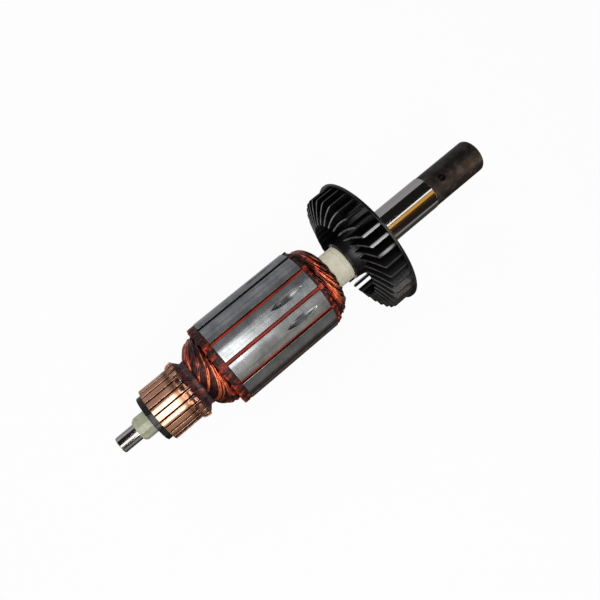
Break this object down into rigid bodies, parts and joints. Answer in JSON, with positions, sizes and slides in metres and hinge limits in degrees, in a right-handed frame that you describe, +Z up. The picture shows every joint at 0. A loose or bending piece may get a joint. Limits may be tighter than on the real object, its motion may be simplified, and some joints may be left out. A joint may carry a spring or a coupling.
{
  "type": "motor armature",
  "caption": "Rotor of a brushed universal motor: slotted core with enamelled windings, hook commutator, swept cooling fan and a long stepped shaft.",
  "frame": {"origin": "middle of the ground bearing seat at the drive end, on the shaft's axis", "axes": "+X along the shaft from the commutator to the drive end; +Z up, along the hole across the drive end"},
  "size_m": [0.2452, 0.076, 0.076],
  "materials": {
    "shaft_steel": "ground and polished, blackened at the drive end",
    "core_steel": "turned laminations",
    "copper": "turned",
    "enamelled_wire": "clear enamel and varnish",
    "varnished_leads": "dark varnish",
    "black_moulding": "moulded",
    "fan_black": "moulded, semi-gloss",
    "cream_insulation": "moulded",
    "red_fibre": "varnished fibre sheet",
    "end_fibre": "varnished fibre board"
  },
  "bodies": {
    "root": {"coil_01": "enamelled_wire", "coil_02": "enamelled_wire", "coil_03": "enamelled_wire", "coil_04": "enamelled_wire", "coil_05": "enamelled_wire", "coil_06": "enamelled_wire", "coil_07": "enamelled_wire", "coil_08": "enamelled_wire", "coil_09": "enamelled_wire", "coil_10": "enamelled_wire", "coil_11": "enamelled_wire", "coil_12": "enamelled_wire", "commutator_bar_01": "copper", "commutator_bar_02": "copper", "commutator_bar_03": "copper", "commutator_bar_04": "copper", "commutator_bar_05": "copper", "commutator_bar_06": "copper", "commutator_bar_07": "copper", "commutator_bar_08": "copper", "commutator_bar_09": "copper", "commutator_bar_10": "copper", "commutator_bar_11": "copper", "commutator_bar_12": "copper", "commutator_bar_13": "copper", "commutator_bar_14": "copper", "commutator_bar_15": "copper", "commutator_bar_16": "copper", "commutator_bar_17": "copper", "commutator_bar_18": "copper", "commutator_bar_19": "copper", "commutator_bar_20": "copper", "commutator_bar_21": "copper", "commutator_bar_22": "copper", "commutator_bar_23": "copper", "commutator_bar_24": "copper", "commutator_leads": "varnished_leads", "commutator_moulding": "black_moulding", "fan": "fan_black", "front_bush": "cream_insulation", "front_end_insulator": "end_fibre", "insulating_sleeve": "cream_insulation", "lamination_stack": "core_steel", "rear_end_insulator": "end_fibre", "shaft": "shaft_steel", "slot_liners": "red_fibre", "slot_wedge_01": "red_fibre", "slot_wedge_02": "red_fibre", "slot_wedge_03": "red_fibre", "slot_wedge_04": "red_fibre", "slot_wedge_05": "red_fibre", "slot_wedge_06": "red_fibre", "slot_wedge_07": "red_fibre", "slot_wedge_08": "red_fibre", "slot_wedge_09": "red_fibre", "slot_wedge_10": "red_fibre", "slot_wedge_11": "red_fibre", "slot_wedge_12": "red_fibre"}
  },
  "joints": []
}
